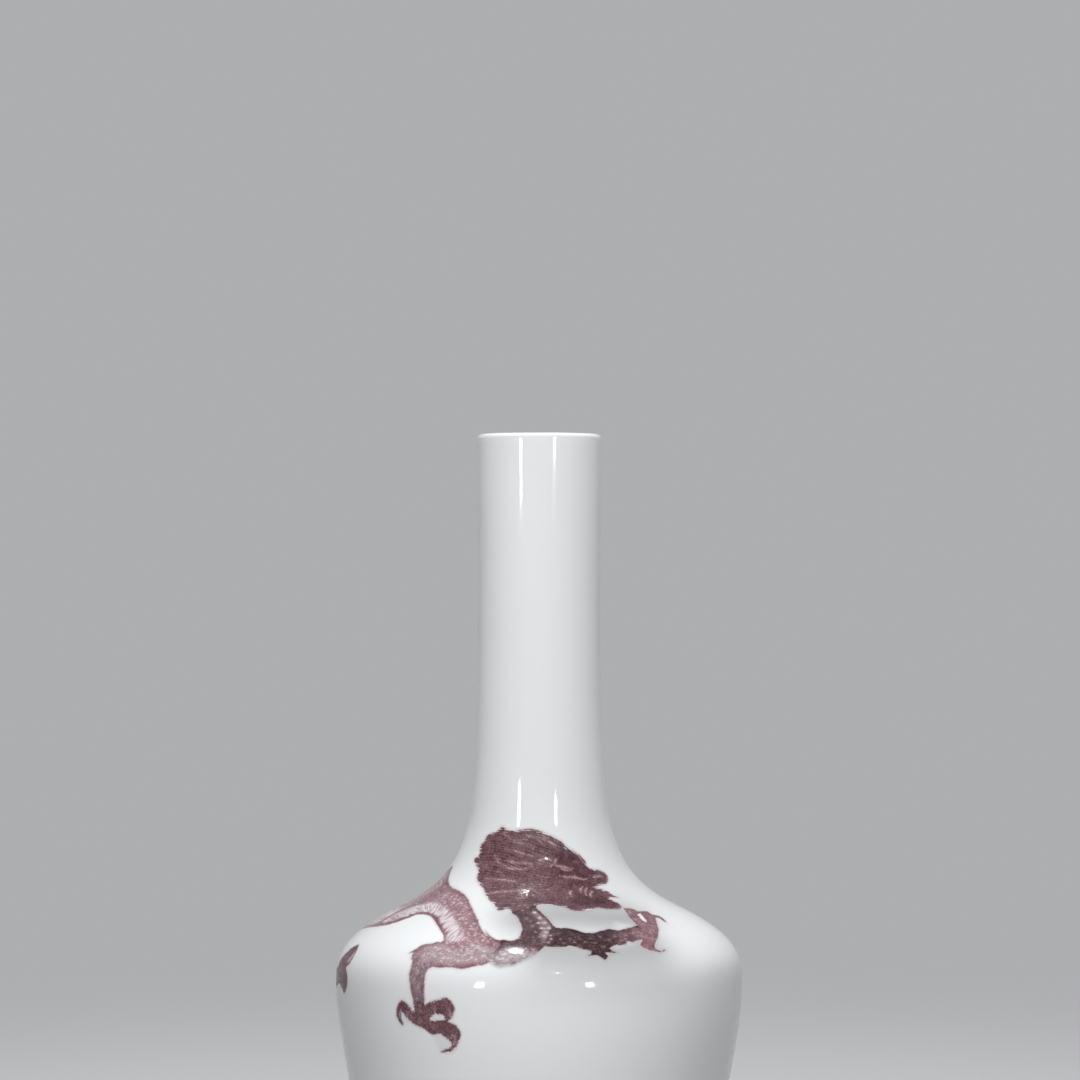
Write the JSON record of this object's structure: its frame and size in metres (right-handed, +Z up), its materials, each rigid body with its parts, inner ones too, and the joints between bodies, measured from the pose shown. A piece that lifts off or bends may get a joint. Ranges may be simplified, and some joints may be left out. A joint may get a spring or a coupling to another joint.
{
  "type": "vase",
  "caption": "Handbell-shaped porcelain vase: broad shouldered body, tall slender neck, foot ring, and a dragon painted in underglaze copper red round the shoulder.",
  "frame": {"origin": "centre of the foot's underside, on the surface that the vase stands on", "axes": "+Z up along the axis of the vase; the dragon's head is on the -Y side, which is the front, and +X is to the right seen from the front"},
  "size_m": [0.124, 0.124, 0.24],
  "materials": {
    "porcelain": "fired unglazed white porcelain body",
    "luting_slip": "fired porcelain slip",
    "copper_red_dark": "thickly brushed copper red under glaze",
    "copper_red": "brushed copper red under glaze",
    "copper_red_pale": "thin mottled copper red under glaze",
    "clear_glaze": "glossy clear glaze with a faint blue tone"
  },
  "bodies": {
    "root": {"lower_body": "porcelain", "body_luting_slip": "luting_slip", "shoulder": "porcelain", "neck_luting_slip": "luting_slip", "neck": "porcelain", "dragon_mane": "copper_red_dark", "dragon_head": "copper_red", "dragon_fore_body": "copper_red_pale", "dragon_raised_foreleg": "copper_red", "dragon_lowered_foreleg": "copper_red", "dragon_rear_body": "copper_red_pale", "dragon_side_hind_leg": "copper_red", "dragon_back_hind_leg": "copper_red", "dragon_tail": "copper_red", "outer_glaze": "clear_glaze", "inner_glaze": "clear_glaze", "base_glaze": "clear_glaze"}
  },
  "joints": []
}
